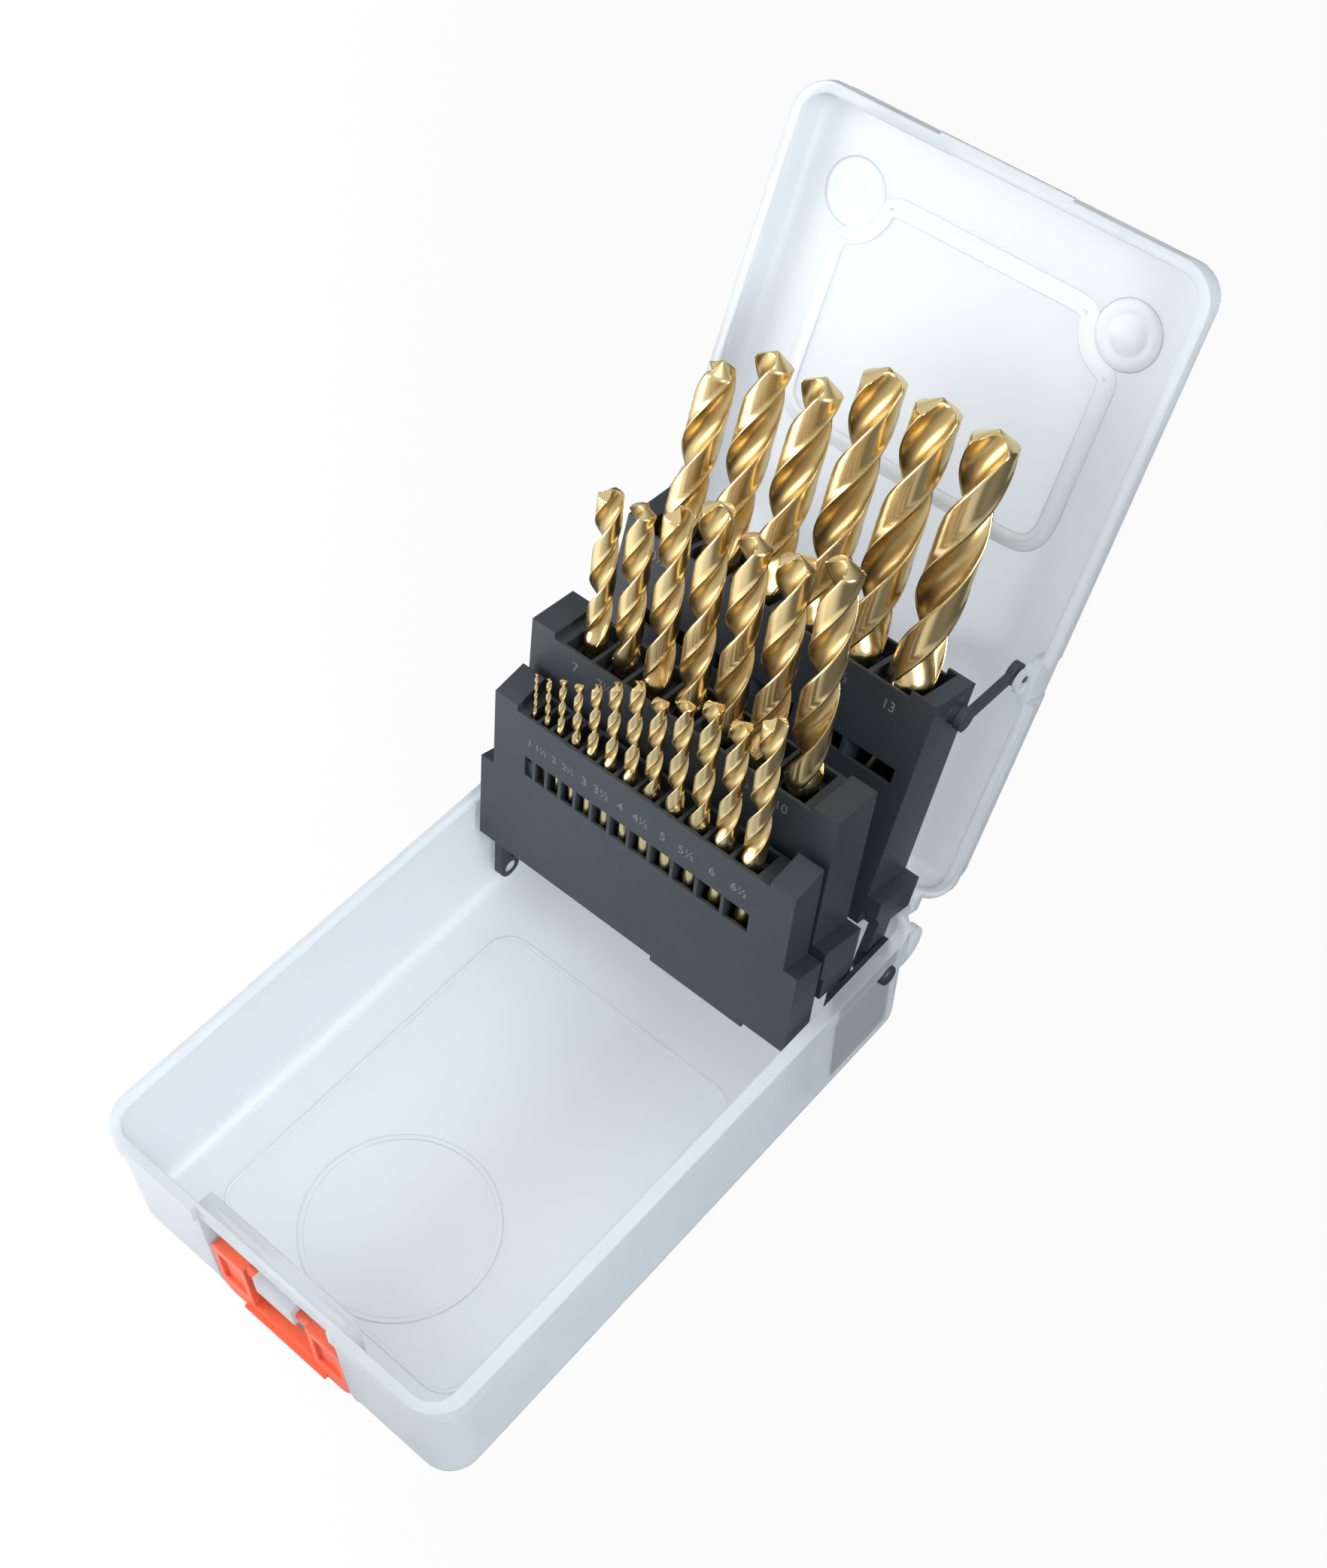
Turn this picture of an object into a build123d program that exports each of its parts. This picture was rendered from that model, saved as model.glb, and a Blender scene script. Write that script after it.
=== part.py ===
# Hinged drill bit case: a clear tray and lid with three racks of drill bits
# that stand up when the lid opens.  It is drawn with the lid open.
from build123d import *
import math
import os

os.makedirs("parts", exist_ok=True)

# Case shell
case_width = 126.0
case_length = 192.0
corner_radius = 11.0
tray_height = 46.8
wall = 2.0
lip_out = 1.0            # how far the rim stands out from the wall
lip_height = 6.0
bottom_inset = 0.6       # draft of the tray wall over its height
bottom_fillet = 5.0
inner_fillet = 3.0
inner_margin = 4.0       # rim ledge, from the outer rim to the inner face
rim_gap = 0.2            # between the tray's rim and the closed lid's rim
lid_depth = 12.3
lid_band = 3.0           # height of the lid's outer rim band
lid_taper = 4.0
lid_inner_taper = 3.2
lid_fillet = 3.0
lid_inner_fillet = 2.0
sink = 0.5               # how far a joined shape reaches into its neighbour
touch = 0.1              # the same, where there is less room
hair = 0.01
past = 1.0               # how far a cut reaches past a face

# Lid hinge
hinge_back = 2.0         # axis behind the rim's rear edge
hinge_drop = 4.8         # axis below the tray's rim
hinge_inset = 10.0       # from the tray's inner face to the middle knuckle
knuckle_width = 4.0
knuckle_radius = 3.3
hinge_pin_radius = 1.6
knuckle_room = 0.35
knuckle_end = 0.2
side_gap = 0.3
open_angle = 115.69

# Lid panel and stacking bosses
boss_inset = 19.3        # from the wall to the middle of a boss
boss_from_front = 26.0
boss_radius = 7.0
boss_room = 4.0
boss_height = 0.8
panel_depth = 1.0
panel_inset = 19.0       # from the wall to the panel's side
panel_front = 24.0       # from the rim's front edge to the panel's front edge
panel_length = 65.0
panel_radius = 8.0

# Tray floor
ring_radius = 28.0
ring_width = 1.4
ring_height = 0.5
ring_from_front = 44.0
line_inset = 14.0        # thin raised outline on the floor
line_from_front = 16.0
line_from_pivot = 11.5   # in front of the front rack's pivot
line_radius = 8.0
line_width = 1.2
line_height = 0.4

# Front latch
latch_half_width = 24.2
latch_arm = 12.8
latch_height = 26.0
latch_thickness = 3.8
latch_bar = 5.0
latch_clear = 0.4
latch_floor_gap = 0.6
latch_pin_height = 25.5
latch_pin_radius = 1.2
latch_recess = 5.2
latch_recess_top = 41.0
latch_relief = 0.6       # cut into the wall above the recess
latch_lip = 1.1
latch_lip_height = 1.1
latch_boss_half = 7.2
latch_boss_rise = 4.0
latch_pin_reach = 1.6
latch_corner = 4.5
latch_top_corner = 2.0
latch_lip_side = 4.0
latch_slack = 0.3
latch_pocket = 1.0
latch_pocket_edge = 2.0
latch_pocket_mid = 0.58  # shares of the latch's height
latch_pocket_tall = 0.52
bead_half_width = 20.0   # bead on the lid that the latch snaps over
bead_out = 0.8
bead_height = 1.2

# Pivots of the racks, in front of the rim's rear edge and up from the base
front_pivot_inset, front_pivot_height = 46.5, 13.7
middle_pivot_inset, middle_pivot_height = 28.6, 31.0
rear_pivot_inset, rear_pivot_height = 16.68, 38.27
pivot_radius = 2.0
pin_fit = 0.05
pin_head_radius = 3.1
pin_head = 2.2
pin_head_fillet = 1.0
pin_room = 0.1
pin_head_room = 0.4
pin_short = 0.2          # a pin's end stays this far inside its bore
ear_radius = 7.5         # bulge in the side wall behind the pin
ear_back = 10.5
ear_drop = 0.8
ear_inset = 0.4
plate = 2.0              # bracket plate on each side wall
bracket_room = 0.5
bracket_drop = 1.3
bracket_front = 8.0      # in front of the middle rack's pivot
rack_gap = 0.4           # between a rack's shoulder and the bracket
link_room = 4.7          # from a rack's side to its shoulder's side
arm_width = 3.0
arm_ring = 1.8           # ring around each pivot's bore
ring_gap = 0.6           # between a ring and the rack that lies on it

# Racks: lean, face, thickness, heights along the lean from the pivot
front_lean, front_face, front_thick = 6.9, -10.5, 10.8
front_bottom, front_shoulder, front_top = 22.6, 55.0, 84.0
middle_lean, middle_face, middle_thick = 8.7, -15.0, 16.0
middle_bottom, middle_shoulder, middle_top = 14.0, 35.0, 81.7
rear_lean, rear_face, rear_thick = 19.8, -5.9, 18.6
rear_bottom, rear_shoulder, rear_top = 14.4, 25.0, 88.5
rear_well = 5.0          # the rear cells reach down to here
rear_row_back = 2.2      # plane of the rear bits behind the pivot
rear_well_back = 9.4
well_wall = 0.5
front_rise_back, front_drop_back = 2.7, 2.3
middle_drop_back = 3.0
middle_relief = 1.9      # cut in a shoulder's face to clear the next ring
rear_relief = 3.0
cheek_width = 8.2
cheek_rise = 2.0
cell_wall = 1.0
bit_room = 0.15          # between a front bit and the wall in front of it
web_share = 0.375        # wall between two cells over the gap between bits
guide_depth = 7.5        # from the cheek's top down to the guide
guide_height = 8.5
window_height = 5.0
window_drop = 23.5       # from the cheek's top down to the window
front_window_height = 7.4
front_window_drop = 17.2
tongue_left, tongue_right, tongue_drop = 9.0, 42.0, 2.0  # on the front rack's edge
bore_fit = 0.08

# Drill bits: diameters and lengths follow the jobber drill standard
front_ends = (12.5, 14.0)   # from a rack's left and right side to a bit
middle_ends = (12.5, 12.5)
rear_ends = (6.4, 6.4)
flute_run = 2.0          # the flutes begin this far below the rack's top
bit_lengths = {
    1: 34, 1.5: 40, 2: 49, 2.5: 57, 3: 61, 3.5: 70, 4: 75, 4.5: 80, 5: 86,
    5.5: 93, 6: 93, 6.5: 101, 7: 109, 7.5: 109, 8: 117, 8.5: 117, 9: 125,
    9.5: 125, 10: 133, 10.5: 133, 11: 142, 11.5: 142, 12: 151, 12.5: 151,
    13: 151,
}
front_bits = {
    1: 14.3, 1.5: 15.2, 2: 18.1, 2.5: 20.0, 3: 23.4, 3.5: 28.5, 4: 33.4,
    4.5: 32.5, 5: 37.4, 5.5: 42.5, 6: 42.0, 6.5: 50.0,
}
middle_bits = {7: 49.2, 7.5: 50.5, 8: 56.2, 8.5: 65.1, 9: 62.1, 9.5: 64.0,
               10: 70.9}
rear_bits = {10.5: 50.4, 11: 60.6, 11.5: 61.0, 12: 71.8, 12.5: 71.8,
             13: 71.9}
helix_angle = 27.0
point_angle = 118.0
flute_share = 0.60       # flute radius over bit radius
flute_place = 0.84       # flute centre over bit radius

# Links between the lid and the rear rack
link_from_body = 3.2     # from the rack's side to the link's middle plane
link_thick = 2.2
link_bar = 3.4
knob_radius = 3.4
link_pin_radius = 1.1
link_pin_depth = 3.0
link_step = 0.2
link_boss_radius = 3.0
link_gap = 0.1
link_pivot_up = 82.3     # on the rack, along its lean
link_pivot_back = 5.23
lug_from_hinge = 77.78   # on the lid
lug_above_hinge = 3.2
lug_thick = 1.6
lug_radius = 3.6
lug_room = 0.4
lug_drop = 0.5
notch_half = 6.0
notch_depth = 1.6
open_pivot_clear = 1.0   # the lid end of the link is the loose pivot
link_length = 23.0
link_offset = 2.3        # degrees from the pins' line when open

# Derived places
hinge_y = case_length / 2 + hinge_back
hinge_z = tray_height - hinge_drop
front_pivot = (case_length / 2 - front_pivot_inset, front_pivot_height)
middle_pivot = (case_length / 2 - middle_pivot_inset, middle_pivot_height)
rear_pivot = (case_length / 2 - rear_pivot_inset, rear_pivot_height)
inner_x = case_width / 2 - inner_margin
inner_y = case_length / 2 - lip_out - wall
inner_radius = corner_radius - inner_margin
wall_x = case_width / 2 - lip_out
wall_y = case_length / 2 - lip_out
lid_rim = tray_height + rim_gap
lid_top = lid_rim + lid_depth
recess_y = -wall_y + latch_recess
latch_y = recess_y - latch_clear - latch_thickness / 2 - latch_slack
hinge_x = inner_x - hinge_inset
boss_x = wall_x - boss_inset
panel_half_width = wall_x - panel_inset
line_half_width = inner_x - line_inset
line_front = line_from_front - case_length / 2
line_back = front_pivot[0] - line_from_pivot
ring_y = ring_from_front - case_length / 2
shoulder_half = inner_x - plate - rack_gap
body_half = shoulder_half - link_room
link_x = body_half + link_from_body
arm_radius = pivot_radius + arm_ring


def block(x0, x1, y0, y1, z0, z1):
    """A box between two corners."""
    box = Box(x1 - x0, y1 - y0, z1 - z0, align=(Align.MIN,) * 3)
    return Pos(x0, y0, z0) * box


def rod(x0, x1, y, z, radius):
    """A cylinder along X between two planes."""
    turned = Cylinder(radius, x1 - x0, align=(Align.CENTER, Align.CENTER, Align.MIN))
    return Pos(x0, y, z) * Rot(0, 90, 0) * turned


def slab(points, x0, x1):
    """A polygon in the Y, Z plane, extruded along X."""
    face = Plane.YZ.offset(x0) * make_face(Polyline(*points, close=True))
    return extrude(face, amount=x1 - x0, dir=(1, 0, 0))


def strap(first, second, radius, x0, x1):
    """A plate with round ends about two points in the Y, Z plane."""
    dy, dz = second[0] - first[0], second[1] - first[1]
    span = math.hypot(dy, dz)
    ny, nz = -dz / span * radius, dy / span * radius
    bar = slab([(first[0] + ny, first[1] + nz), (second[0] + ny, second[1] + nz),
                (second[0] - ny, second[1] - nz), (first[0] - ny, first[1] - nz)],
               x0, x1)
    return bar + rod(x0, x1, *first, radius) + rod(x0, x1, *second, radius)


def both_sides(shape):
    """The shape and its mirror image across the middle."""
    return [shape, mirror(shape, Plane.YZ)]


def rounded(width, length, radius, z, height, taper=0):
    return Pos(0, 0, z) * extrude(RectangleRounded(width, length, radius),
                                  amount=height, taper=taper)


def open_lid(shape):
    """Swing a shape drawn with the lid closed to the open pose."""
    return shape.rotate(Axis((0, hinge_y, hinge_z), (1, 0, 0)), -open_angle)


def stand(shape, pivot, lean):
    """Place a rack drawn upright about its pivot."""
    return Pos(0, *pivot) * Rot(-lean, 0, 0) * shape


def rack_point(pivot, lean, up, back):
    """A point of a rack in the open pose."""
    a = math.radians(lean)
    return (pivot[0] + up * math.sin(a) + back * math.cos(a),
            pivot[1] + up * math.cos(a) - back * math.sin(a))


def lid_point(from_hinge, above_hinge):
    """A point of the lid in the open pose."""
    a = math.radians(open_angle)
    return (hinge_y - from_hinge * math.cos(a) + above_hinge * math.sin(a),
            hinge_z + from_hinge * math.sin(a) + above_hinge * math.cos(a))


def build_tray():
    draft = math.degrees(math.atan(bottom_inset / tray_height))
    body = Pos(0, 0, tray_height) * Rot(180, 0, 0) * extrude(
        RectangleRounded(2 * wall_x, 2 * wall_y, corner_radius - lip_out),
        amount=tray_height, taper=draft)
    body = fillet(body.edges().group_by(Axis.Z)[0], bottom_fillet)
    lip = rounded(case_width, case_length, corner_radius,
                  tray_height - lip_height, lip_height)
    hollow = rounded(2 * inner_x, 2 * inner_y, inner_radius, wall, tray_height)
    hollow = fillet(hollow.edges().group_by(Axis.Z)[0], inner_fillet)
    front_wall = recess_y + wall
    pocket_side = latch_half_width + latch_clear + wall
    backing = block(-pocket_side, pocket_side, -wall_y + wall / 2, front_wall,
                    wall / 2, latch_recess_top + wall)
    tray = body + lip - hollow + backing
    side = latch_half_width + latch_clear
    tray -= block(-side, side, -case_length, recess_y, -past, latch_recess_top)
    tray -= block(-side, side, -case_length, latch_relief - wall_y,
                  latch_recess_top - past, case_length)
    boss = block(-latch_boss_half, latch_boss_half, -wall_y + sink, recess_y + sink,
                 latch_pin_height - latch_boss_rise, latch_pin_height + latch_boss_rise)
    tray += boss
    tray -= rod(-case_width, case_width, latch_y, latch_pin_height,
                latch_pin_radius + pin_fit) & block(
        -side, side, -case_length, 0, 0, tray_height)
    ring = Cylinder(ring_radius, ring_height + sink) - Cylinder(
        ring_radius - ring_width, ring_height + sink)
    tray += Pos(0, ring_y, wall + (ring_height - sink) / 2) * ring
    line_length = line_back - line_front
    line = RectangleRounded(2 * line_half_width, line_length, line_radius)
    line -= RectangleRounded(2 * (line_half_width - line_width),
                             line_length - 2 * line_width, line_radius - line_width)
    tray += Pos(0, line_back - line_length / 2, wall - sink) * extrude(
        line, amount=line_height + sink)
    reach = knuckle_width * 1.5 + 2 * side_gap + knuckle_end
    for shape in both_sides(rod(hinge_x - reach, hinge_x + reach, hinge_y, hinge_z,
                                knuckle_radius + knuckle_room)):
        tray -= shape
    knuckle = rod(hinge_x - knuckle_width / 2, hinge_x + knuckle_width / 2,
                  hinge_y, hinge_z, knuckle_radius)
    knuckle += block(hinge_x - knuckle_width / 2, hinge_x + knuckle_width / 2,
                     inner_y + wall / 2, hinge_y, hinge_z - knuckle_radius, hinge_z)
    knuckle += rod(hinge_x - reach + side_gap, hinge_x + reach - side_gap,
                   hinge_y, hinge_z, hinge_pin_radius)
    ear = rod(inner_x, wall_x - ear_inset, rear_pivot[0] + ear_back,
              rear_pivot[1] - ear_drop, ear_radius)
    hole = rod(inner_x - past, case_width, *rear_pivot, pivot_radius + pin_room)
    seat = rod(wall_x, case_width, *rear_pivot, pin_head_radius + pin_head_room)
    stub = rod(shoulder_half - arm_width + pin_short, inner_x + touch, *front_pivot,
               pivot_radius)
    for shape in both_sides(knuckle) + both_sides(ear) + both_sides(stub):
        tray += shape
    for shape in both_sides(hole) + both_sides(seat):
        tray -= shape
    return tray


def build_lid():
    shell = rounded(2 * wall_x, 2 * wall_y, corner_radius - lip_out, lid_rim,
                    lid_depth, lid_taper)
    shell = fillet(shell.edges().group_by(Axis.Z)[-1], lid_fillet)
    shell += rounded(case_width, case_length, corner_radius, lid_rim, lid_band)
    hollow = rounded(2 * (wall_x - wall), 2 * (wall_y - wall),
                     corner_radius - lip_out - wall, lid_rim - past,
                     lid_depth - wall + past, lid_inner_taper)
    hollow = fillet(hollow.edges().group_by(Axis.Z)[-1], lid_inner_fillet)
    lid = shell - hollow
    front = -case_length / 2
    boss_y = front + boss_from_front
    panel_mid = front + panel_front + panel_length / 2
    panel = RectangleRounded(2 * panel_half_width, panel_length, panel_radius)
    panel = Pos(0, panel_mid) * panel
    for x in (-boss_x, boss_x):
        panel -= Pos(x, boss_y) * Circle(boss_radius + boss_room)
    panel = panel.faces().sort_by(SortBy.AREA)[-1]
    lid += Pos(0, 0, lid_top - wall - panel_depth) * extrude(
        offset(panel, amount=-wall / 2), amount=panel_depth + sink)
    lid -= Pos(0, 0, lid_top - panel_depth) * extrude(panel, amount=panel_depth + past)
    for x in (-boss_x, boss_x):
        foot = Pos(x, boss_y, lid_top - sink) * Cylinder(
            boss_radius, boss_height + sink, align=(Align.CENTER, Align.CENTER, Align.MIN))
        dish = Pos(x, boss_y, lid_top) * Cylinder(
            boss_radius - wall, boss_height + past,
            align=(Align.CENTER, Align.CENTER, Align.MIN))
        lid += foot - dish
    lug_y = hinge_y - lug_from_hinge
    lug_z = hinge_z + lug_above_hinge
    lug_x = inner_x - lug_room
    top = lid_top - wall - lug_drop
    notch_x = wall_x - notch_depth
    edge = notch_half + past
    notch_wall = block(lug_x - lug_room, notch_x + touch, lug_y - edge, lug_y + edge,
                       lid_rim, top)
    notch = block(notch_x, case_width, lug_y - notch_half, lug_y + notch_half,
                  lid_rim - past, lid_top + past)
    low = lid_rim + lid_band
    lug = slab([(lug_y - lug_radius, lug_z), (lug_y + lug_radius, lug_z),
                (lug_y + notch_half, low), (lug_y + notch_half, top),
                (lug_y - notch_half, top), (lug_y - notch_half, low)],
               lug_x - lug_thick, lug_x)
    lug += rod(lug_x - lug_thick, lug_x, lug_y, lug_z, lug_radius)
    eye = rod(lug_x - lug_thick - past, lug_x + hair, lug_y, lug_z,
              link_pin_radius + open_pivot_clear)
    reach = knuckle_width * 1.5 + side_gap
    knuckle = None
    for start in (hinge_x - reach, hinge_x + knuckle_width / 2 + side_gap):
        stop = start + knuckle_width
        piece = rod(start, stop, hinge_y, hinge_z, knuckle_radius)
        piece += block(start, stop, case_length / 2 + knuckle_room,
                       hinge_y + knuckle_radius, hinge_z, lid_rim + lid_band)
        piece += block(start, stop, wall_y - past, hinge_y + knuckle_radius,
                       lid_rim, lid_rim + lid_band)
        piece -= rod(start - past, stop + past, hinge_y, hinge_z,
                     hinge_pin_radius + pin_fit)
        knuckle = piece if knuckle is None else knuckle + piece
    for shape in both_sides(notch_wall):
        lid += shape
    for shape in both_sides(notch):
        lid -= shape
    for shape in both_sides(lug) + both_sides(knuckle):
        lid += shape
    for shape in both_sides(eye):
        lid -= shape
    lid += block(-bead_half_width, bead_half_width, front - bead_out, front + sink,
                 lid_rim, lid_rim + bead_height)
    return open_lid(lid)


def build_bracket():
    """The right-hand plate that carries the middle and rear racks' pivots."""
    x0, x1 = inner_x - plate, inner_x
    low = wall + inner_fillet + bracket_room
    high = tray_height - bracket_drop
    front, back = middle_pivot[0] - bracket_front, case_length / 2 - corner_radius
    bracket = block(x0, x1, front, back, low, high)
    bracket += rod(shoulder_half - arm_width + pin_short, x0 + touch, *middle_pivot,
                   pivot_radius)
    bracket -= rod(x0 - past, x1 + past, *rear_pivot, pivot_radius + pin_fit)
    return bracket


def build_pin():
    """One pivot pin of the rear rack, on the right-hand side."""
    tip = shoulder_half - arm_width + pin_short
    pin = rod(tip, wall_x + touch, *rear_pivot, pivot_radius)
    head = rod(wall_x, wall_x + pin_head, *rear_pivot, pin_head_radius)
    head = fillet(head.edges().group_by(Axis.X)[-1], pin_head_fillet)
    return pin + head


def row(bits, ends):
    """The even gap between the bits, and the middle X of each of them."""
    sizes = list(bits)
    x = ends[0] - body_half
    gap = (2 * body_half - sum(ends) - sum(sizes)) / (len(sizes) - 1)
    places = []
    for size in sizes:
        places.append(x + size / 2)
        x += size + gap
    return gap, places


def front_row(size):
    """The front bits touch one plane, so each of them shows in its window."""
    return front_face + cell_wall + bit_room + size / 2


def middle_row(size):
    return middle_face + middle_thick / 2


def rear_row(size):
    return rear_row_back


def build_rack(bits, ends, face, thick, bottom, shoulder, top, middle, well=None,
               well_back=0.0, rise_back=0.0, drop_back=0.0, relief=0.0, relief_top=0.0,
               window=(window_drop, window_height)):
    """A rack, upright about its pivot: Y is back and Z is along its lean."""
    back = face + thick
    inner = body_half - cheek_width
    body = block(-inner, inner, face, back, bottom, top - cheek_rise)
    if well is not None:
        body += block(-inner, inner, face, well_back, well, bottom + touch)
    cheek = slab([(face, bottom), (back, bottom), (back, top + rise_back),
                  (face, top)], inner - hair, body_half)
    outline = [(face, shoulder), (back, shoulder - drop_back), (back, bottom)]
    if relief:
        outline += [(face + relief, bottom), (face + relief, relief_top),
                    (face, relief_top + relief)]
    else:
        outline.append((face, bottom))
    step = slab(outline, body_half - hair, shoulder_half)
    arm_back, arm_face = min(back, arm_radius), max(face + relief, -arm_radius)
    arm = slab([(arm_face, bottom + touch), (arm_back, bottom + touch),
                (arm_back, 0), (-arm_radius, 0)],
               shoulder_half - arm_width, shoulder_half)
    arm += rod(shoulder_half - arm_width, shoulder_half, 0, 0, arm_radius)
    hole = rod(shoulder_half - arm_width - touch, shoulder_half + past, 0, 0,
               pivot_radius + pin_fit)
    for shape in both_sides(cheek) + both_sides(step) + both_sides(arm):
        body += shape
    for shape in both_sides(hole):
        body -= shape
    guide_top = top - guide_depth
    guide_low = guide_top - guide_height
    window_top = top - window[0]
    gap, places = row(bits, ends)
    for (size, proud), x in zip(bits.items(), places):
        half = size / 2 + gap * (1 - web_share) / 2
        floor = top + proud - bit_lengths[size]
        body -= block(x - half, x + half, face + cell_wall, back - cell_wall,
                      guide_top, top + guide_depth)
        body -= block(x - half, x + half, face + cell_wall, back - cell_wall,
                      max(floor, bottom + cell_wall), guide_low)
        if well is not None:
            body -= block(x - half, x + half, face + cell_wall, well_back - well_wall,
                          floor, bottom + cell_wall + touch)
        body -= Pos(x, middle(size), guide_low - touch) * Cylinder(
            size / 2 + bore_fit, guide_height + 2 * touch,
            align=(Align.CENTER, Align.CENTER, Align.MIN))
        body -= block(x - half, x + half, face - past, face + cell_wall + touch,
                      window_top - window[1], window_top)
    return body


def over_ring(pivot, other):
    """How far up a lying rack reaches past the ring of the rack in front."""
    return pivot[0] - other[0] + arm_radius + ring_gap


def build_bit(size, length, proud):
    """A twist drill along Z, its shank end on the origin."""
    radius = size / 2
    flute = proud + min(flute_run, radius)
    plain = length - flute
    section = Circle(radius)
    for side in (-1, 1):
        section -= Pos(side * flute_place * radius, 0) * Circle(flute_share * radius)
    turns = flute * math.tan(math.radians(helix_angle)) / (math.pi * size)
    twist = Pos(0, 0, plain) * Solid.extrude_linear_with_rotation(
        section.faces()[0], (0, 0, 0), (0, 0, flute), turns * 360)
    shank = Cylinder(radius, plain, align=(Align.CENTER, Align.CENTER, Align.MIN))
    point = radius / math.tan(math.radians(point_angle / 2))
    hull = make_face(Plane.XZ * Polyline(
        (0, -past), (radius + past, -past),
        (radius + past, length - point * (1 + past / radius)), (0, length), close=True))
    return (shank + twist) & revolve(hull, Axis.Z)


def build_link():
    """The right-hand link, its pins included, in the open pose."""
    low = rack_point(rear_pivot, rear_lean, link_pivot_up, link_pivot_back)
    lug = lid_point(lug_from_hinge, lug_above_hinge)
    aim = math.atan2(lug[1] - low[1], lug[0] - low[0]) + math.radians(link_offset)
    high = (low[0] + link_length * math.cos(aim), low[1] + link_length * math.sin(aim))
    x0, x1 = link_x - link_thick / 2, link_x + link_thick / 2
    link = strap(low, high, link_bar / 2, x0 + link_step, x1 - link_step)
    link += rod(x0, x1, *low, knob_radius) + rod(x0, x1, *high, knob_radius)
    link += rod(body_half - link_pin_depth, x0 + touch, *low, link_pin_radius)
    link += rod(x1 - touch, inner_x - lug_room, *high, link_pin_radius)
    return link


def build_front_rack():
    rack = build_rack(front_bits, front_ends, front_face, front_thick, front_bottom,
                      front_shoulder, front_top, front_row, rise_back=front_rise_back,
                      drop_back=front_drop_back,
                      window=(front_window_drop, front_window_height))
    return rack + block(tongue_left, tongue_right, front_face, front_face + front_thick,
                        front_bottom - tongue_drop, front_bottom + touch)


def build_rear_rack():
    rack = build_rack(rear_bits, rear_ends, rear_face, rear_thick, rear_bottom,
                      rear_shoulder, rear_top, rear_row, rear_well, rear_well_back,
                      relief=rear_relief, relief_top=over_ring(rear_pivot, middle_pivot))
    boss = rod(body_half - touch, link_x - link_thick / 2 - link_gap, link_pivot_back,
               link_pivot_up, link_boss_radius)
    hole = rod(body_half - link_pin_depth - pin_short, case_width, link_pivot_back,
               link_pivot_up, link_pin_radius + pin_fit)
    for shape in both_sides(boss):
        rack += shape
    for shape in both_sides(hole):
        rack -= shape
    return rack


def build_latch():
    y0, y1 = latch_y - latch_thickness / 2, latch_y + latch_thickness / 2
    inner = latch_half_width - latch_arm
    top = latch_floor_gap + latch_height
    latch = block(-latch_half_width, latch_half_width, y0, y1, latch_floor_gap, top)
    latch = fillet(latch.edges().filter_by(Axis.Y).group_by(Axis.Z)[0], latch_corner)
    latch = fillet(latch.edges().filter_by(Axis.Y).group_by(Axis.Z)[-1],
                   latch_top_corner)
    latch -= block(-inner, inner, y0 - past, y1 + past, latch_floor_gap + latch_bar,
                   top + past)
    reach = inner + latch_lip_side
    latch += block(-reach, reach, y0 - latch_lip, y0 + sink, latch_floor_gap,
                   latch_floor_gap + latch_lip_height)
    for side in (-1, 1):
        mid = side * (latch_half_width - latch_arm / 2)
        well = Pos(mid, y0 + latch_pocket / 2,
                   latch_floor_gap + latch_height * latch_pocket_mid)
        latch -= well * Box(latch_arm - 2 * latch_pocket_edge, latch_pocket,
                            latch_height * latch_pocket_tall)
    stub = rod(latch_boss_half - latch_pin_reach, inner + touch, latch_y,
               latch_pin_height, latch_pin_radius)
    for shape in both_sides(stub):
        latch += shape
    return latch


def save(shape, name):
    solids = shape.solids()
    export_step(solids[0] if len(solids) == 1 else Compound(children=solids),
                f"parts/{name}.step")
    print(name, len(solids), round(sum(s.volume for s in solids), 1))


save(build_tray(), "tray")
save(build_lid(), "lid")
bracket = build_bracket()
save(bracket, "bracket_right")
save(mirror(bracket, Plane.YZ), "bracket_left")
pin = build_pin()
save(Compound(children=[pin.solid(), mirror(pin, Plane.YZ).solid()]), "pivot_pins")
link = build_link()
save(link, "link_right")
save(mirror(link, Plane.YZ), "link_left")
save(build_latch(), "latch")

racks = {
    "rack_front": (build_front_rack(), front_pivot, front_lean, front_bits, front_ends,
                   front_row, front_top),
    "rack_middle": (build_rack(middle_bits, middle_ends, middle_face, middle_thick,
                               middle_bottom, middle_shoulder, middle_top,
                               middle_row, drop_back=middle_drop_back,
                               relief=middle_relief,
                               relief_top=over_ring(middle_pivot, front_pivot)),
                    middle_pivot, middle_lean, middle_bits, middle_ends, middle_row,
                    middle_top),
    "rack_rear": (build_rear_rack(), rear_pivot, rear_lean, rear_bits, rear_ends,
                  rear_row, rear_top),
}
for name, (rack, pivot, lean, bits, ends, middle, top) in racks.items():
    save(stand(rack, pivot, lean), name)
    for (size, proud), x in zip(bits.items(), row(bits, ends)[1]):
        bit = Pos(x, middle(size), top + proud - bit_lengths[size]) * build_bit(
            size, bit_lengths[size], proud)
        save(stand(bit, pivot, lean), f"bit_{size:g}mm".replace(".", "_"))
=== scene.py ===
import bpy, bmesh, math
from mathutils import Matrix, Vector


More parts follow.
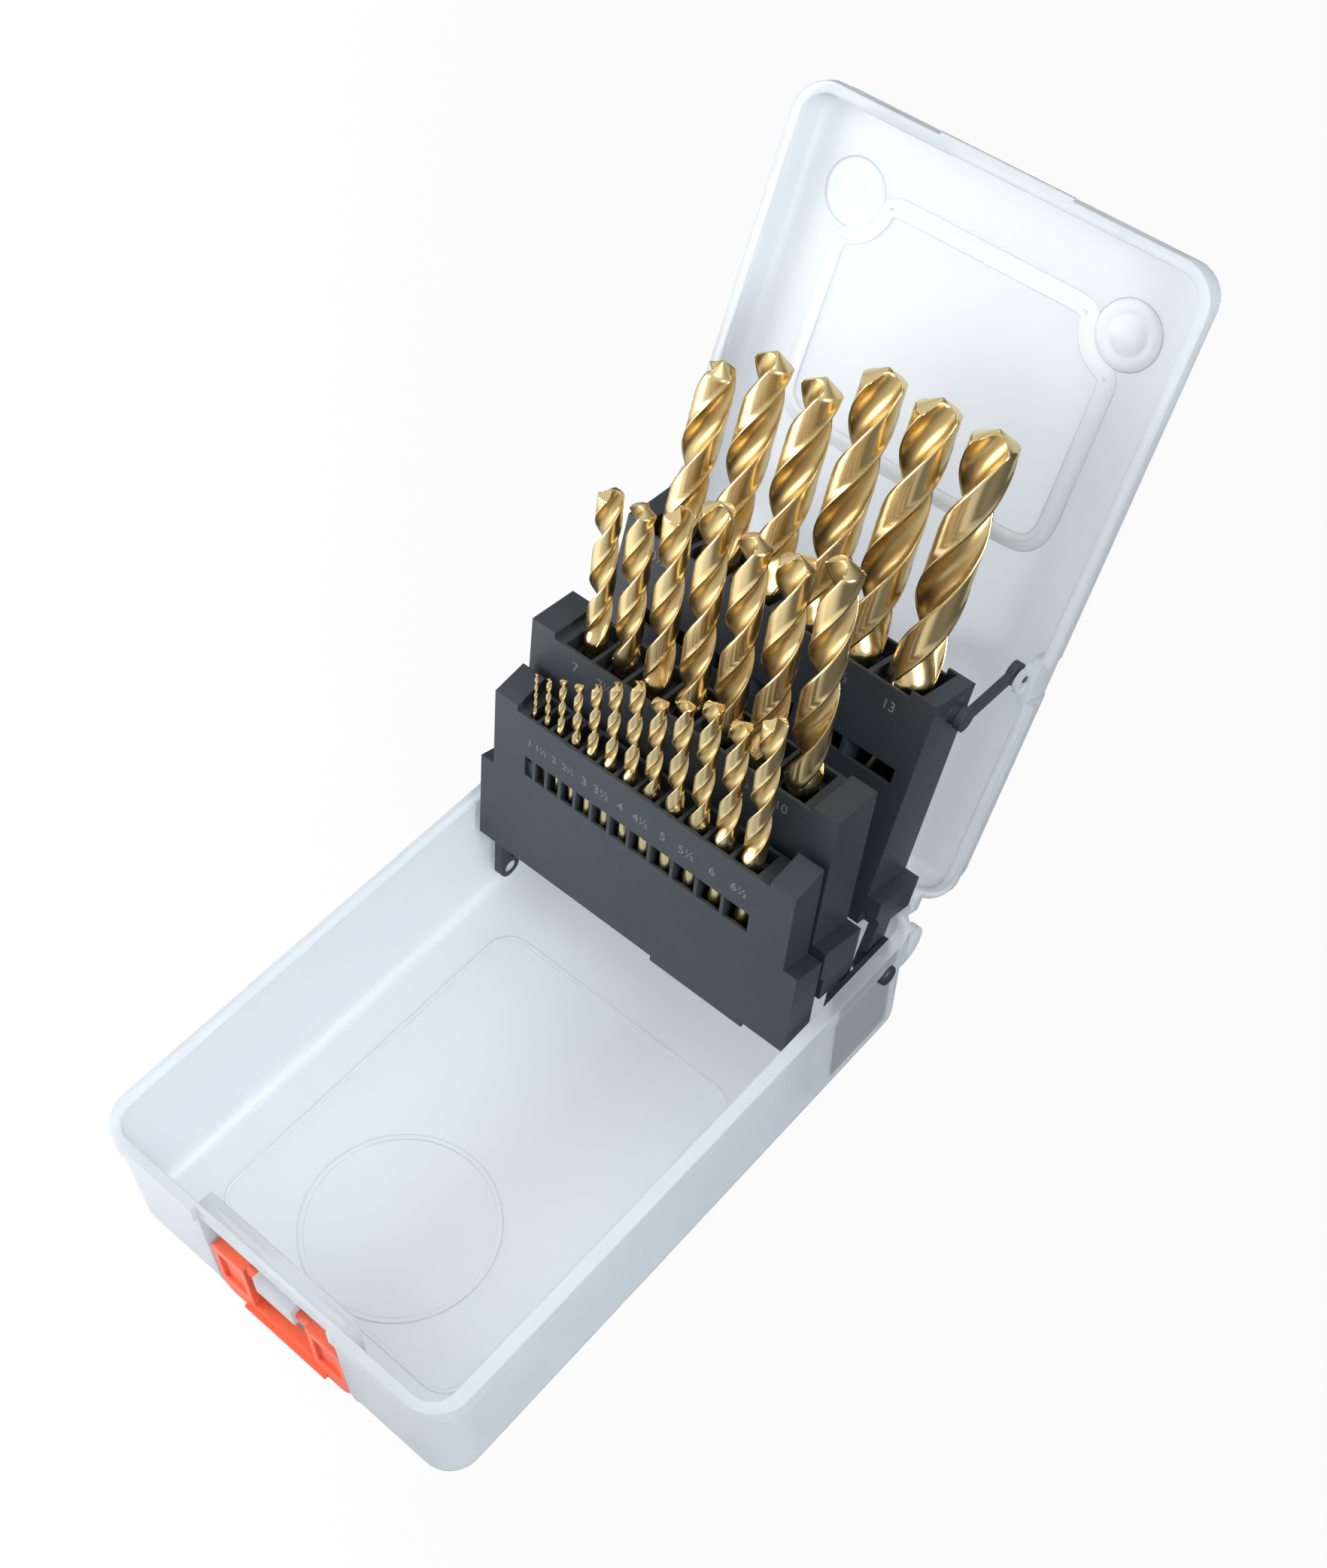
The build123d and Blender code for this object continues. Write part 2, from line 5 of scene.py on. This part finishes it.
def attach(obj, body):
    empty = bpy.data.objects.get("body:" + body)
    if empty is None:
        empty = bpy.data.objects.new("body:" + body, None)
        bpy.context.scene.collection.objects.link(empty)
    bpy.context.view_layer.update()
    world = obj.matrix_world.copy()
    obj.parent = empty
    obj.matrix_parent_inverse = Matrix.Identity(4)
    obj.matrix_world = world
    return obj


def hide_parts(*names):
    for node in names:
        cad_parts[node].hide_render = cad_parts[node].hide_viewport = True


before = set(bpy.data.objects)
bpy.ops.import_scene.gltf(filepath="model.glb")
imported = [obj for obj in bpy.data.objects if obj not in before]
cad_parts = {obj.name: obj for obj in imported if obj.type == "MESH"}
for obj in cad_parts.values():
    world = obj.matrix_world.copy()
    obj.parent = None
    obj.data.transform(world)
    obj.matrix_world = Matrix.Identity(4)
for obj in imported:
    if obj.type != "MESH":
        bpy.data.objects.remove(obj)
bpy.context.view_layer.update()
mm = 0.001
collection = bpy.context.scene.collection


# one wrapped socket, so that shader maths reads as plain expressions
class Sock:
    def __init__(self, nodes, socket):
        self.nodes, self.socket = nodes, socket

    def maths(self, operation, other, swapped=False):
        pair = (other, self) if swapped else (self, other)
        return self.nodes.node("ShaderNodeMath", {"operation": operation},
                               {0: pair[0], 1: pair[1]})

    def __add__(self, other):
        return self.maths("ADD", other)

    def __radd__(self, other):
        return self.maths("ADD", other, True)

    def __mul__(self, other):
        return self.maths("MULTIPLY", other)

    def __rmul__(self, other):
        return self.maths("MULTIPLY", other, True)


# the node tree of a material or of the world
class Nodes:
    def __init__(self, tree):
        self.tree = tree

    def node(self, kind, settings=None, sockets=None, out=0):
        made = self.tree.nodes.new(kind)
        for key, value in (settings or {}).items():
            setattr(made, key, value)
        for key, value in (sockets or {}).items():
            if isinstance(value, Sock):
                self.tree.links.new(value.socket, made.inputs[key])
            else:
                made.inputs[key].default_value = value
        return Sock(self, made.outputs[out])

    def ramped(self, value, low, high, bottom=0.0, top=1.0):
        return self.node("ShaderNodeMapRange", {"interpolation_type": "SMOOTHSTEP"}, {
            "Value": value, "From Min": low, "From Max": high, "To Min": bottom,
            "To Max": top})

    # 1 where the camera looks, straight or through the frosted plastic
    def seenByCamera(self):
        straight = self.node("ShaderNodeLightPath", out="Is Camera Ray")
        through = self.node("ShaderNodeLightPath", out="Is Transmission Ray")
        return straight.maths("MAXIMUM", through)


class Mat(Nodes):
    def __init__(self, name, fixed):
        self.data = bpy.data.materials.new(name)
        self.data.use_nodes = True
        super().__init__(self.data.node_tree)
        self.shader = self.tree.nodes["Principled BSDF"]
        for key, value in fixed.items():
            self.shader.inputs[key].default_value = value

    def coords(self, scale=(1, 1, 1)):
        place = self.node("ShaderNodeTexCoord", out="Object")
        return self.node("ShaderNodeMapping", {}, {"Vector": place, "Scale": scale})

    def noise(self, scale, stretch=(1, 1, 1)):
        return self.node("ShaderNodeTexNoise", {}, {
            "Vector": self.coords(stretch), "Scale": scale, "Detail": 2.0}, "Fac")

    def mixed(self, factor, first, second):
        return self.node("ShaderNodeMix", {"data_type": "RGBA"},
                         {0: factor, 6: first, 7: second}, 2)

    def feed(self, key, value):
        self.tree.links.new(value.socket, self.shader.inputs[key])

    def bump(self, height, strength, edge=0.0):
        sockets = {"Height": height, "Strength": strength, "Distance": 0.2 * mm}
        if edge:
            sockets["Normal"] = self.node("ShaderNodeBevel", {"samples": 4},
                                          {"Radius": edge * mm})
        self.feed("Normal", self.node("ShaderNodeBump", {}, sockets))


def grey(value):
    return (value, value, value, 1)


# plastics: the two colours of the cloud, noise scales of cloud and grain, lowest
# roughness and what the grain adds, bump strength and rounding of the edges in mm
frostedLook = {
    "colours": ((0.83, 0.885, 0.935, 1), (0.87, 0.915, 0.955, 1)),
    "cloud": 9.0, "grain": 900.0, "roughness": (0.34, 0.12), "bump": 0.12, "edge": 0.6,
    "fixed": {"IOR": 1.49, "Transmission Weight": 0.64, "Specular IOR Level": 0.45},
}
# the moulded forms: a paler copy of the frosted plastic with less transmission, its paler colour
# painted light that keeps the forms as bright as the lid
formLook = dict(
    frostedLook, colours=((0.86, 0.915, 0.965, 1), (0.90, 0.945, 0.985, 1)),
    fixed={"IOR": 1.49, "Transmission Weight": 0.3, "Specular IOR Level": 0.45})
blackLook = {
    "colours": ((0.020, 0.026, 0.034, 1), (0.030, 0.038, 0.048, 1)),
    "cloud": 30.0, "grain": 1400.0, "roughness": (0.40, 0.16), "bump": 0.18, "edge": 0.45,
    "fixed": {},
}
orangeLook = {
    "colours": ((0.86, 0.115, 0.045, 1), (0.90, 0.145, 0.06, 1)),
    "cloud": 700.0, "grain": 700.0, "roughness": (0.30, 0.12), "bump": 0.1, "edge": 0.5,
    "fixed": {},
}


def makePlastic(name, look):
    mat = Mat(name, look["fixed"])
    cloud, grain = mat.noise(look["cloud"]), mat.noise(look["grain"])
    mat.feed("Base Color", mat.mixed(cloud, *look["colours"]))
    lowest, added = look["roughness"]
    mat.feed("Roughness", lowest + grain * added)
    mat.bump(grain, look["bump"], look["edge"])
    return mat


# gold coat: colours of the lands and of the flutes, the flutes' darker colours painted shade in the
# hollows; marks drawn along the drill
goldLook = {
    "land": ((0.72, 0.55, 0.27, 1), (0.80, 0.63, 0.33, 1)),
    "shadedFlute": ((0.55, 0.39, 0.16, 1), (0.64, 0.47, 0.21, 1)),
    "cloud": 60.0, "marks": 900.0, "drawn": (1, 1, 0.12), "roughness": 0.22,
    "marksAdd": 0.06, "depthAdds": 0.07, "bump": 0.02,
}


def makeGold(look):
    mat = Mat("goldCoat", {"Metallic": 1.0})
    depth = mat.node("ShaderNodeAttribute", {"attribute_name": "fluteDepth"}, out="Fac")
    marks, cloud = mat.noise(look["marks"], look["drawn"]), mat.noise(look["cloud"])
    land, shadedFlute = mat.mixed(cloud, *look["land"]), mat.mixed(cloud, *look["shadedFlute"])
    # the darker flute colours, mixed in by fluteDepth, are painted shade in the flutes and at the
    # tip
    mat.feed("Base Color", mat.mixed(depth, land, shadedFlute))
    mat.feed("Roughness",
             look["roughness"] + marks * look["marksAdd"] + depth * look["depthAdds"])
    mat.bump(marks, look["bump"])
    return mat


# pale ink of the size marks
inkLook = {"colours": (grey(0.13), grey(0.19)), "grain": 800.0, "roughness": 0.55}


def makeInk(look):
    mat = Mat("sizeMarks", {"Roughness": look["roughness"]})
    mat.feed("Base Color", mat.mixed(mat.noise(look["grain"]), *look["colours"]))
    return mat


frosted = makePlastic("frostedCase", frostedLook)
mouldedForm = makePlastic("mouldedForm", formLook)
blackPlastic = makePlastic("blackPlastic", blackLook)
orangePlastic = makePlastic("orangePlastic", orangeLook)
goldCoat, sizeInk = makeGold(goldLook), makeInk(inkLook)
finishes = {
    "tray": frosted, "lid": frosted, "latch": orangePlastic,
    "bracket_left": blackPlastic, "bracket_right": blackPlastic,
    "pivot_pins": blackPlastic, "link_left": blackPlastic, "link_right": blackPlastic,
    "rack_front": blackPlastic, "rack_middle": blackPlastic, "rack_rear": blackPlastic,
}
for nodeName, mat in finishes.items():
    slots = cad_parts[nodeName].data.materials
    slots.clear()
    slots.append(mat.data)
print("finishes on the carried-over nodes")


# racks in mm: pivot, lean, row of the bits (place, share of the bit's size), top, space
# at the row's ends, front face, level of the marks, and for each bit its size and how
# far it stands above the rack's top
rackHalf = 51.9
racks = {
    "front": {"pivot": (49.5, 13.7), "lean": 6.9, "row": (-9.35, 0.5), "top": 84.0,
              "ends": (12.5, 14.0), "face": -10.5, "marks": 73.0,
              "bits": {1: 14.3, 1.5: 15.2, 2: 18.1, 2.5: 20.0, 3: 23.4, 3.5: 28.5, 4: 33.4,
                       4.5: 32.5, 5: 37.4, 5.5: 42.5, 6: 42.0, 6.5: 50.0}},
    "middle": {"pivot": (67.4, 31.0), "lean": 8.7, "row": (-7.0, 0), "top": 81.7,
               "ends": (12.5, 12.5), "face": -15.0, "marks": 74.5,
               "bits": {7: 49.2, 7.5: 50.5, 8: 56.2, 8.5: 65.1, 9: 62.1, 9.5: 64.0,
                        10: 70.9}},
    "rear": {"pivot": (79.32, 38.27), "lean": 19.8, "row": (2.2, 0), "top": 88.5,
             "ends": (6.4, 6.4), "face": -5.9, "marks": 81.0,
             "bits": {10.5: 50.4, 11: 60.6, 11.5: 61.0, 12: 71.8, 12.5: 71.8, 13: 71.9}},
}
bitLengths = {1: 34, 1.5: 40, 2: 49, 2.5: 57, 3: 61, 3.5: 70, 4: 75, 4.5: 80, 5: 86,
              5.5: 93, 6: 93, 6.5: 101, 7: 109, 7.5: 109, 8: 117, 8.5: 117, 9: 125,
              9.5: 125, 10: 133, 10.5: 133, 11: 142, 11.5: 142, 12: 151, 12.5: 151,
              13: 151}


def moved(x, y, z):
    return Matrix.Translation((x * mm, y * mm, z * mm))


def rackPlace(rack):
    turn = Matrix.Rotation(math.radians(-rack["lean"]), 4, "X")
    return moved(0, *rack["pivot"]) @ turn


def rowPlaces(rack):
    sizes = list(rack["bits"])
    x = rack["ends"][0] - rackHalf
    gap = (2 * rackHalf - sum(rack["ends"]) - sum(sizes)) / (len(sizes) - 1)
    places = []
    for size in sizes:
        places.append(x + size / 2)
        x += size + gap
    return places


def sizeLabel(size):
    return f"{size:g}mm".replace(".", "_")


def joinRings(mesh, low, high):
    for i in range(len(low)):
        j = (i + 1) % len(low)
        mesh.faces.new((low[i], low[j], high[j], high[i]))


def addPiece(name, data, place, mat):
    data.materials.append(mat.data)
    piece = bpy.data.objects.new(name, data)
    collection.objects.link(piece)
    piece.matrix_world = place
    return piece


# twist drills: the land's outline as angles and shares of the radius, then the round
# flute, both in half a section; the flutes start "below" mm inside the rack and reach
# full depth over "fadeIn" sizes; "notchTurn" and "notchAt" set how "notches" is read
drill = {
    "land": [(-6, 1.0), (1.5, 1.0), (3.5, 0.967), (20, 0.967), (40, 0.967), (58, 0.967),
             (74, 0.965), (83, 0.95)],
    "fluteMiddle": 128.5, "fluteOpening": 90.0, "web": 0.2, "flutePoints": 16,
    "helix": 29.0, "point": 118.0, "stepDegrees": 6.0, "chamfer": 0.14,
    "below": 2.0, "fadeIn": 0.9, "coneShares": (0.86, 0.7, 0.54, 0.38, 0.22, 0.1),
    # landEdge and tipDepth shape the fluteDepth mask, which paints shade into the flutes and onto
    # the tip
    "landEdge": 0.95, "tipDepth": 0.3,
    "notchTurn": 57, "notchAt": 0.52, "smallTurn": 12, "smallest": 10,
}
# how each drill stands turned in its cell: where its first notch shows on the left,
# in half turns of the flute below the tip
notches = {1: 0.5, 1.5: 0.3, 2: 0.55, 2.5: 0.6, 3: 0.1, 3.5: 0.13, 4: 0.13, 4.5: 0.5, 5: 0.4,
           5.5: 0.54, 6: 0.57, 6.5: 0.86, 7: 0.84, 7.5: 0.31, 8: 0.95, 8.5: 0.64, 9: 0.36,
           9.5: 0.57, 10: 0.33, 10.5: 0.18, 11: 0.37, 11.5: 0.38, 12: 0.745, 12.5: 0.74,
           13: 0.6}


def halfSection():
    half = math.radians(drill["fluteOpening"] / 2)
    centre = (1 - drill["web"] ** 2) / (2 * (math.cos(half) - drill["web"]))
    reach = centre - drill["web"]
    corner = math.atan2(math.sin(half), math.cos(half) - centre)
    points = [(math.radians(d), r) for d, r in drill["land"]]
    middle, count = math.radians(drill["fluteMiddle"]), drill["flutePoints"]
    for i in range(1, count):
        turn = -corner + (2 * corner - 2 * math.pi) * i / count
        x, y = centre + reach * math.cos(turn), reach * math.sin(turn)
        points.append((middle + math.atan2(y, x), math.hypot(x, y)))
    return points


def fluteLength(size, proud):
    return proud + min(drill["below"], size / 2)


def turnPerMm(size):
    return 2 * math.tan(math.radians(drill["helix"])) / size


def drillLevels(size, flute, cone):
    length = bitLengths[size]
    plain = length - flute
    rise = math.radians(drill["stepDegrees"]) / turnPerMm(size)
    steps = max(8, int((flute - cone) / rise))
    levels = [0.0, size / 2 * drill["chamfer"], plain * 0.5, plain]
    levels += [plain + (flute - cone) * (i + 1) / steps for i in range(steps)]
    return levels + [length - cone * share for share in drill["coneShares"]]


def drillMesh(name, size, proud):
    radius, length = size / 2, bitLengths[size]
    flute = fluteLength(size, proud)
    plain = length - flute
    cone = radius / math.tan(math.radians(drill["point"] / 2))
    half = halfSection()
    section = [(-d, r) for d, r in half] + [(-d - math.pi, r) for d, r in half]
    section.reverse()
    mesh = bmesh.new()
    layer = mesh.verts.layers.float.new("fluteDepth")
    rings = []
    for z in drillLevels(size, flute, cone):
        fade = max(0.0, min(1.0, (z - plain) / (size * drill["fadeIn"])))
        fade = fade * fade * (3 - 2 * fade)
        limit = radius if z <= length - cone else (length - z) / cone * radius
        limit *= 1 - drill["chamfer"] if z == 0 else 1
        turn = (z - plain) * turnPerMm(size)
        ring = []
        for angle, share in section:
            share = 1 + (share - 1) * fade
            reach = min(share * radius, limit)
            vert = mesh.verts.new((reach * math.cos(angle + turn) * mm,
                                   reach * math.sin(angle + turn) * mm, z * mm))
            # fluteDepth: how far into the flute a point lies, which the gold coat turns into
            # painted shade
            vert[layer] = min(1.0, max(0.0, drill["landEdge"] - share) * 2)
            ring.append(vert)
        rings.append(ring)
    for low, high in zip(rings, rings[1:]):
        joinRings(mesh, low, high)
    mesh.faces.new(list(reversed(rings[0])))
    tip = mesh.verts.new((0, 0, length * mm))
    tip[layer] = drill["tipDepth"]
    for i in range(len(section)):
        mesh.faces.new((rings[-1][i], rings[-1][(i + 1) % len(section)], tip))
    for face in mesh.faces:
        face.smooth = True
    bmesh.ops.recalc_face_normals(mesh, faces=mesh.faces)
    data = bpy.data.meshes.new(name)
    mesh.to_mesh(data)
    mesh.free()
    return data


def standingTurn(size, proud):
    climb = math.degrees(turnPerMm(size) * fluteLength(size, proud))
    seen = drill["notchTurn"] + 180 * (notches[size] - drill["notchAt"])
    small = drill["smallTurn"] if size <= drill["smallest"] else 0
    return math.radians(seen - climb + small)


for rackName, rack in racks.items():
    for (size, proud), x in zip(rack["bits"].items(), rowPlaces(rack)):
        label = sizeLabel(size)
        y = rack["row"][0] + rack["row"][1] * size
        foot = rack["top"] + proud - bitLengths[size]
        turn = Matrix.Rotation(standingTurn(size, proud), 4, "Z")
        piece = addPiece("drill_" + label, drillMesh("drill_" + label, size, proud),
                         rackPlace(rack) @ moved(x, y, foot) @ turn, goldCoat)
        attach(piece, rackName + "_rack")
        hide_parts("bit_" + label)
print("twist drills")


# size marks above the windows; sizes under "narrowUnder" stand close and are smaller
marks = {"height": 4.3, "raised": 0.05, "narrowUnder": 3, "narrow": 0.78}


def sizeWords(size):
    whole = int(size)
    return str(whole) + ("½" if size != whole else "")


def markText(name, size):
    words = bpy.data.curves.new(name, "FONT")
    words.body = sizeWords(size)
    words.align_x, words.align_y = "CENTER", "CENTER"
    share = marks["narrow"] if size < marks["narrowUnder"] else 1.0
    words.size = marks["height"] * mm * share
    words.extrude = marks["raised"] * mm
    return words


upright = Matrix.Rotation(math.pi / 2, 4, "X")
for rackName, rack in racks.items():
    for size, x in zip(rack["bits"], rowPlaces(rack)):
        name = "mark_" + sizeLabel(size)
        spot = moved(x, rack["face"], rack["marks"])
        piece = addPiece(name, markText(name, size), rackPlace(rack) @ spot @ upright,
                         sizeInk)
        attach(piece, rackName + "_rack")
print("size marks")


# soft moulded forms of the lid, drawn in mm with the lid shut; "panel" is its half
# width, front, rear and corner radius, and a form is a list of (outwards, inwards)
shell = {
    "hinge": (98.0, 42.0), "open": 115.69, "inside": 57.3, "frontWall": -93.2,
    "panel": (43.0, -72.0, -7.0, 8.0), "bosses": 42.7, "bossPlace": -70.0,
    "bossGap": 11.0, "bossSides": 48, "sharpFrom": 40, "pocketDepth": 0.5, "bevel": 0.15,
}
panelStep = [(2.4, -0.02), (1.9, 0.08), (1.2, 0.34), (0.5, 0.66), (-0.3, 0.92), (-1.1, 1.04),
             (-1.9, 1.06), (-2.6, 1.0), (-2.6, -0.3), (2.4, -0.3)]
bossForm = [(9.4, -0.1), (8.8, 0.3), (7.6, 0.62), (6.4, 0.5), (5.6, 0.15), (5.0, 0.25),
            (3.8, 0.75), (2.2, 1.05), (0.9, 1.15)]
# forms on the lid's front wall: outline in x and z, thickness and edge of the pocket
frontForms = {
    "lid_front_pad": ([(-45, 49.5), (-15, 49.5), (-19, 55.6), (-41, 55.6)], 1.1, 2.0),
    "lid_front_rib": ([(32.4, 49.5), (33.8, 49.5), (33.8, 55.6), (32.4, 55.6)], 1.0, 0),
}


def lidTurn():
    hinge = moved(0, *shell["hinge"])
    turn = Matrix.Rotation(math.radians(-shell["open"]), 4, "X")
    return hinge @ turn @ hinge.inverted()


def addForm(name, mesh):
    bmesh.ops.recalc_face_normals(mesh, faces=mesh.faces)
    for face in mesh.faces:
        face.smooth = True
    for edge in mesh.edges:
        if len(edge.link_faces) == 2 and edge.calc_face_angle(0) > math.radians(shell["sharpFrom"]):
            edge.smooth = False
    data = bpy.data.meshes.new(name)
    mesh.to_mesh(data)
    mesh.free()
    piece = addPiece(name, data, lidTurn(), mouldedForm)
    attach(piece, "lid")


def arc(cx, cy, radius, start, stop, count=8):
    turns = [math.radians(start + (stop - start) * i / count) for i in range(count + 1)]
    return [(cx + radius * math.cos(a), cy + radius * math.sin(a)) for a in turns]


# the same loop in even steps, its corners rounded by averaging neighbours
def evened(path, step=1.0, rounds=16):
    points = []
    for i, point in enumerate(path):
        ahead = path[(i + 1) % len(path)]
        count = max(1, round(math.dist(point, ahead) / step))
        points += [(point[0] + (ahead[0] - point[0]) * k / count,
                    point[1] + (ahead[1] - point[1]) * k / count) for k in range(count)]
    for _ in range(rounds):
        points = [tuple((points[i - 1][k] + 2 * points[i][k]
                         + points[(i + 1) % len(points)][k]) / 4 for k in (0, 1))
                  for i in range(len(points))]
    return points


# round the panel, bent inwards past the two bosses
def panelPath():
    half, front, rear, radius = shell["panel"]
    inner = half - radius
    path = arc(inner, rear - radius, radius, 0, 90)
    path += arc(-inner, rear - radius, radius, 90, 180)
    gap, bx, by = shell["bossGap"], shell["bosses"], shell["bossPlace"]
    cut = math.degrees(math.asin((bx - half) / gap))
    low = math.degrees(math.acos((front - by) / gap))
    path += arc(-bx, by, gap, 90 - cut, 90 - low, 12)
    path += arc(bx, by, gap, 90 + low, 90 + cut, 12)
    return evened(path)


def sweepLoop(path, form, level):
    mesh = bmesh.new()
    rings = []
    for i, point in enumerate(path):
        ahead = path[(i + 1) % len(path)]
        behind = path[i - 1]
        along = Vector((ahead[0] - behind[0], ahead[1] - behind[1])).normalized()
        out = Vector((along.y, -along.x))
        rings.append([mesh.verts.new(((point[0] + out.x * o) * mm, (point[1] + out.y * o) * mm,
                                      (level - h) * mm)) for o, h in form])
    for low, high in zip(rings, rings[1:] + rings[:1]):
        joinRings(mesh, low, high)
    return mesh


def latheForm(form, x, y, level):
    mesh = bmesh.new()
    rings = []
    for radius, h in form:
        circle = arc(x, y, radius, 0, 360, shell["bossSides"])[:-1]
        rings.append([mesh.verts.new((cx * mm, cy * mm, (level - h) * mm))
                      for cx, cy in circle])
    for low, high in zip(rings, rings[1:]):
        joinRings(mesh, low, high)
    mesh.faces.new(rings[-1])
    mesh.faces.new(rings[0])
    return mesh


def wallPad(points, thick, pocket):
    mesh = bmesh.new()
    base = [mesh.verts.new((x * mm, shell["frontWall"] * mm, z * mm)) for x, z in points]
    face = mesh.faces.new(base)
    grown = bmesh.ops.extrude_face_region(mesh, geom=[face])["geom"]
    bmesh.ops.translate(mesh, verts=[v for v in grown if isinstance(v, bmesh.types.BMVert)],
                        vec=(0, thick * mm, 0))
    if pocket:
        front = [f for f in grown if isinstance(f, bmesh.types.BMFace)]
        bmesh.ops.inset_region(mesh, faces=front, thickness=pocket * mm,
                               depth=-shell["pocketDepth"] * mm)
    bmesh.ops.bevel(mesh, geom=list(mesh.edges), offset=shell["bevel"] * mm, segments=2,
                    affect="EDGES")
    return mesh


addForm("lid_panel_edge", sweepLoop(panelPath(), panelStep, shell["inside"]))
for side, word in ((-1, "left"), (1, "right")):
    addForm("lid_boss_" + word, latheForm(bossForm, side * shell["bosses"],
                                          shell["bossPlace"], shell["inside"]))
for name, (outline, thick, pocket) in frontForms.items():
    addForm(name, wallPad(outline, thick, pocket))
print("moulded forms of the lid")


# camera at the photograph's angle: place in mm, lens in mm, forward and up
view = {
    "place": (228.74, -202.57, 553.83), "lens": 50.36, "sensor": 36, "clip": (0.01, 20),
    "forward": (-0.39633, 0.45177, -0.79927), "up": (-0.52248, 0.60486, 0.60096),
}


def addCamera():
    data = bpy.data.cameras.new("camera")
    data.lens, data.sensor_width = view["lens"], view["sensor"]
    data.clip_start, data.clip_end = view["clip"]
    camera = bpy.data.objects.new("camera", data)
    collection.objects.link(camera)
    back = -Vector(view["forward"]).normalized()
    side = Vector(view["up"]).cross(back).normalized()
    turned = Matrix((side, back.cross(side), back)).transposed().to_4x4()
    camera.matrix_world = moved(*view["place"]) @ turned
    bpy.context.scene.camera = camera


# studio in metres: floor size and how far it lies under the case, its painted pale and dark
# tones (a painted pool of light and shade) and where across and along it they meet, share of
# white that the camera sees, the sky's bright side and tones, and the lamps
studio = {
    "floor": 6.0, "drop": 0.0002, "pale": 0.92, "dark": 0.1, "across": 0.76,
    "along": 0.65, "meet": (-0.2, 0.08), "white": 0.96,
    "lean": (-0.5, -0.45, 0.75), "skyFrom": (-0.35, 0.75), "skyTones": (0.1, 0.87),
    "skyColour": (0.97, 0.985, 1, 1), "aim": (0, 0, 0.05),
}
# place, width, power and colour
lamps = {
    "left": ((-0.5, -0.32, 0.2), 0.4, 3.0, (1, 0.985, 0.96)),
    "key": ((-0.5, -0.6, 0.9), 0.25, 0.8, (1, 0.985, 0.96)),
    "right": ((0.75, -0.1, 0.5), 0.3, 6.4, (0.95, 0.98, 1)),
    "top": ((-0.1, 0.5, 1.5), 0.6, 1.7, (1, 1, 1)),
}


# base colour painted pale on the lit side and dark away from it, a painted pool of light and shade,
# so that metal has both to reflect
def floorMaterial():
    mat = Mat("paleFloor", {"Roughness": 0.7, "Specular IOR Level": 0.1})
    across = mat.node("ShaderNodeSeparateXYZ", {}, {"Vector": mat.coords()}, "X")
    along = mat.node("ShaderNodeSeparateXYZ", {}, {"Vector": mat.coords()}, "Y")
    fade = mat.ramped(across * studio["across"] + along * studio["along"], *studio["meet"])
    # painted pool of light and shade in the floor's base colour
    mat.feed("Base Color", mat.mixed(fade, grey(studio["pale"]), grey(studio["dark"])))
    glow = mat.node("ShaderNodeEmission", {}, {"Color": grey(1.0), "Strength": 1.0})
    both = mat.node("ShaderNodeMixShader", {}, {
        0: mat.seenByCamera() * studio["white"], 1: Sock(mat, mat.shader.outputs[0]),
        2: glow})
    mat.tree.links.new(both.socket, mat.tree.nodes["Material Output"].inputs[0])
    return mat


def addFloor():
    mesh = bmesh.new()
    bmesh.ops.create_grid(mesh, x_segments=4, y_segments=4, size=studio["floor"] / 2)
    data = bpy.data.meshes.new("floor")
    mesh.to_mesh(data)
    mesh.free()
    floor = addPiece("floor", data, Matrix.Translation((0, 0, -studio["drop"])),
                     floorMaterial())


# a soft tent: bright towards the lean, dark away from it, white to the camera
def addSky():
    world = bpy.data.worlds.new("studio")
    bpy.context.scene.world = world
    world.use_nodes = True
    sky = Nodes(world.node_tree)
    place = sky.node("ShaderNodeTexCoord", out="Generated")
    lean = Vector(studio["lean"]).normalized()
    aim = sky.node("ShaderNodeVectorMath", {"operation": "DOT_PRODUCT"},
                   {0: place, 1: lean}, "Value")
    tent = sky.ramped(aim, *studio["skyFrom"], *studio["skyTones"])
    strength = sky.node("ShaderNodeMix", {}, {0: sky.seenByCamera(), 2: tent, 3: 1.0})
    background = sky.tree.nodes["Background"]
    background.inputs["Color"].default_value = studio["skyColour"]
    sky.tree.links.new(strength.socket, background.inputs["Strength"])


def addLamp(name, place, width, power, colour):
    lamp = bpy.data.lights.new(name, "AREA")
    lamp.shape, lamp.size, lamp.energy, lamp.color = "DISK", width, power, colour
    holder = bpy.data.objects.new(name, lamp)
    collection.objects.link(holder)
    holder.location = place
    towards = Vector(studio["aim"]) - Vector(place)
    holder.rotation_euler = towards.to_track_quat("-Z", "Y").to_euler()


addCamera()
addFloor()
addSky()
for lampName, lampValues in lamps.items():
    addLamp(lampName, *lampValues)
bpy.context.scene.view_settings.view_transform = "Standard"
print("camera, floor and lamps")
